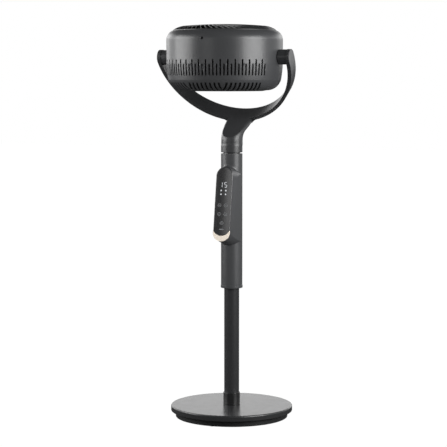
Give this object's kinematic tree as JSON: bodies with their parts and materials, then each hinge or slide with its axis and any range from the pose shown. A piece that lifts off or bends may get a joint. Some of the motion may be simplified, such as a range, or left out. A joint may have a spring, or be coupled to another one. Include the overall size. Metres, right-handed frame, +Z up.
{
  "type": "air circulator fan",
  "caption": "Free-standing air circulator fan: round base, pole, column with a touch console, leaning neck with a U yoke, and a drum head with a domed ribbed grille that tilts and pans.",
  "frame": {"origin": "centre of the round base on the floor, under the pole", "axes": "+Z up, front (console side) at -Y, tilt axis along X"},
  "size_m": [0.342, 0.3365, 0.966],
  "materials": {
    "foot_rubber": "matt",
    "plinth_plastic": "matt",
    "cast_weight": "matt",
    "base_paint": "satin",
    "steel": "satin",
    "motor_can": "satin",
    "pole_paint": "satin",
    "collar_plastic": "satin",
    "shell_plastic": "satin",
    "inlet_plastic": "satin",
    "filter_foam": "open-cell foam",
    "lens_gloss": "polished",
    "accent_gold": "satin",
    "mark_light": "matt",
    "guide_white": "matt",
    "board_green": "satin",
    "acetal_white": "satin",
    "brass_gear": "satin",
    "neck_plastic": "satin",
    "drum_plastic": "satin",
    "grille_plastic": "satin",
    "cap_plastic": "satin",
    "duct_plastic": "matt",
    "cast_alloy": "satin",
    "copper_winding": "satin",
    "rotor_steel": "satin",
    "magnet_dark": "satin",
    "impeller_plastic": "satin"
  },
  "bodies": {
    "stand": {"base_feet": "foot_rubber", "base_plinth": "plinth_plastic", "base_weight": "cast_weight", "base_disc": "base_paint", "base_screws": "steel", "pole_bolt": "steel", "pole_collar": "collar_plastic", "pole_foot": "collar_plastic", "pole_tube": "pole_paint", "column_end_ring": "shell_plastic", "column_insert": "collar_plastic", "column_shell": "shell_plastic", "dc_inlet": "inlet_plastic", "panel_lens": "lens_gloss", "accent_cap": "accent_gold", "display_marks": "mark_light", "light_guide": "guide_white", "control_board": "board_green", "touch_springs": "steel", "board_posts": "guide_white", "pan_bush": "acetal_white", "motor_plate": "steel", "pan_motor": "motor_can", "pan_motor_screws": "steel"},
    "pan_pinion": {"pan_pinion": "brass_gear"},
    "neck": {"pan_spigot": "neck_plastic", "spigot_clip": "steel", "pan_gear": "acetal_white", "neck": "neck_plastic", "yoke_inner_shell": "neck_plastic", "yoke_outer_shell": "neck_plastic", "tilt_bush": "acetal_white", "tilt_motor": "motor_can"},
    "head": {"trunnion_left": "drum_plastic", "trunnion_right": "drum_plastic", "tilt_motor_shaft": "steel", "drum_shell": "drum_plastic", "rear_cover": "drum_plastic", "rear_cover_screws": "steel", "front_grille": "grille_plastic", "grille_cap": "cap_plastic", "duct_ring": "duct_plastic", "dust_filter": "filter_foam", "grille_lock_screw": "inlet_plastic", "motor_mount": "cast_alloy", "rear_bearing": "steel", "front_bearing": "steel", "motor_stator": "copper_winding", "motor_cover": "duct_plastic", "driver_board": "board_green"},
    "impeller": {"impeller": "impeller_plastic", "motor_rotor": "rotor_steel", "rotor_magnets": "magnet_dark", "motor_shaft": "steel", "impeller_nut": "rotor_steel"}
  },
  "joints": [
    {"name": "pan", "type": "hinge", "parent": "stand", "child": "neck", "pos_m": [0, 0, 0.655], "axis": [0, 0, 1], "range_deg": [-60, 60]},
    {"name": "pan_pinion_spin", "type": "hinge", "parent": "stand", "child": "pan_pinion", "pos_m": [0, 0.0168, 0.627], "axis": [0, 0, 1], "range_deg": [-181, 181]},
    {"name": "tilt", "type": "hinge", "parent": "neck", "child": "head", "pos_m": [0, -0.046, 0.887], "axis": [1, 0, 0], "range_deg": [0, 105]},
    {"name": "impeller_spin", "type": "hinge", "parent": "head", "child": "impeller", "pos_m": [0, -0.046, 0.887], "axis": [0, 0, 1], "continuous": true}
  ],
  "couplings": [
    {"joint": "pan_pinion_spin", "follows": "pan", "ratio": -3}
  ]
}
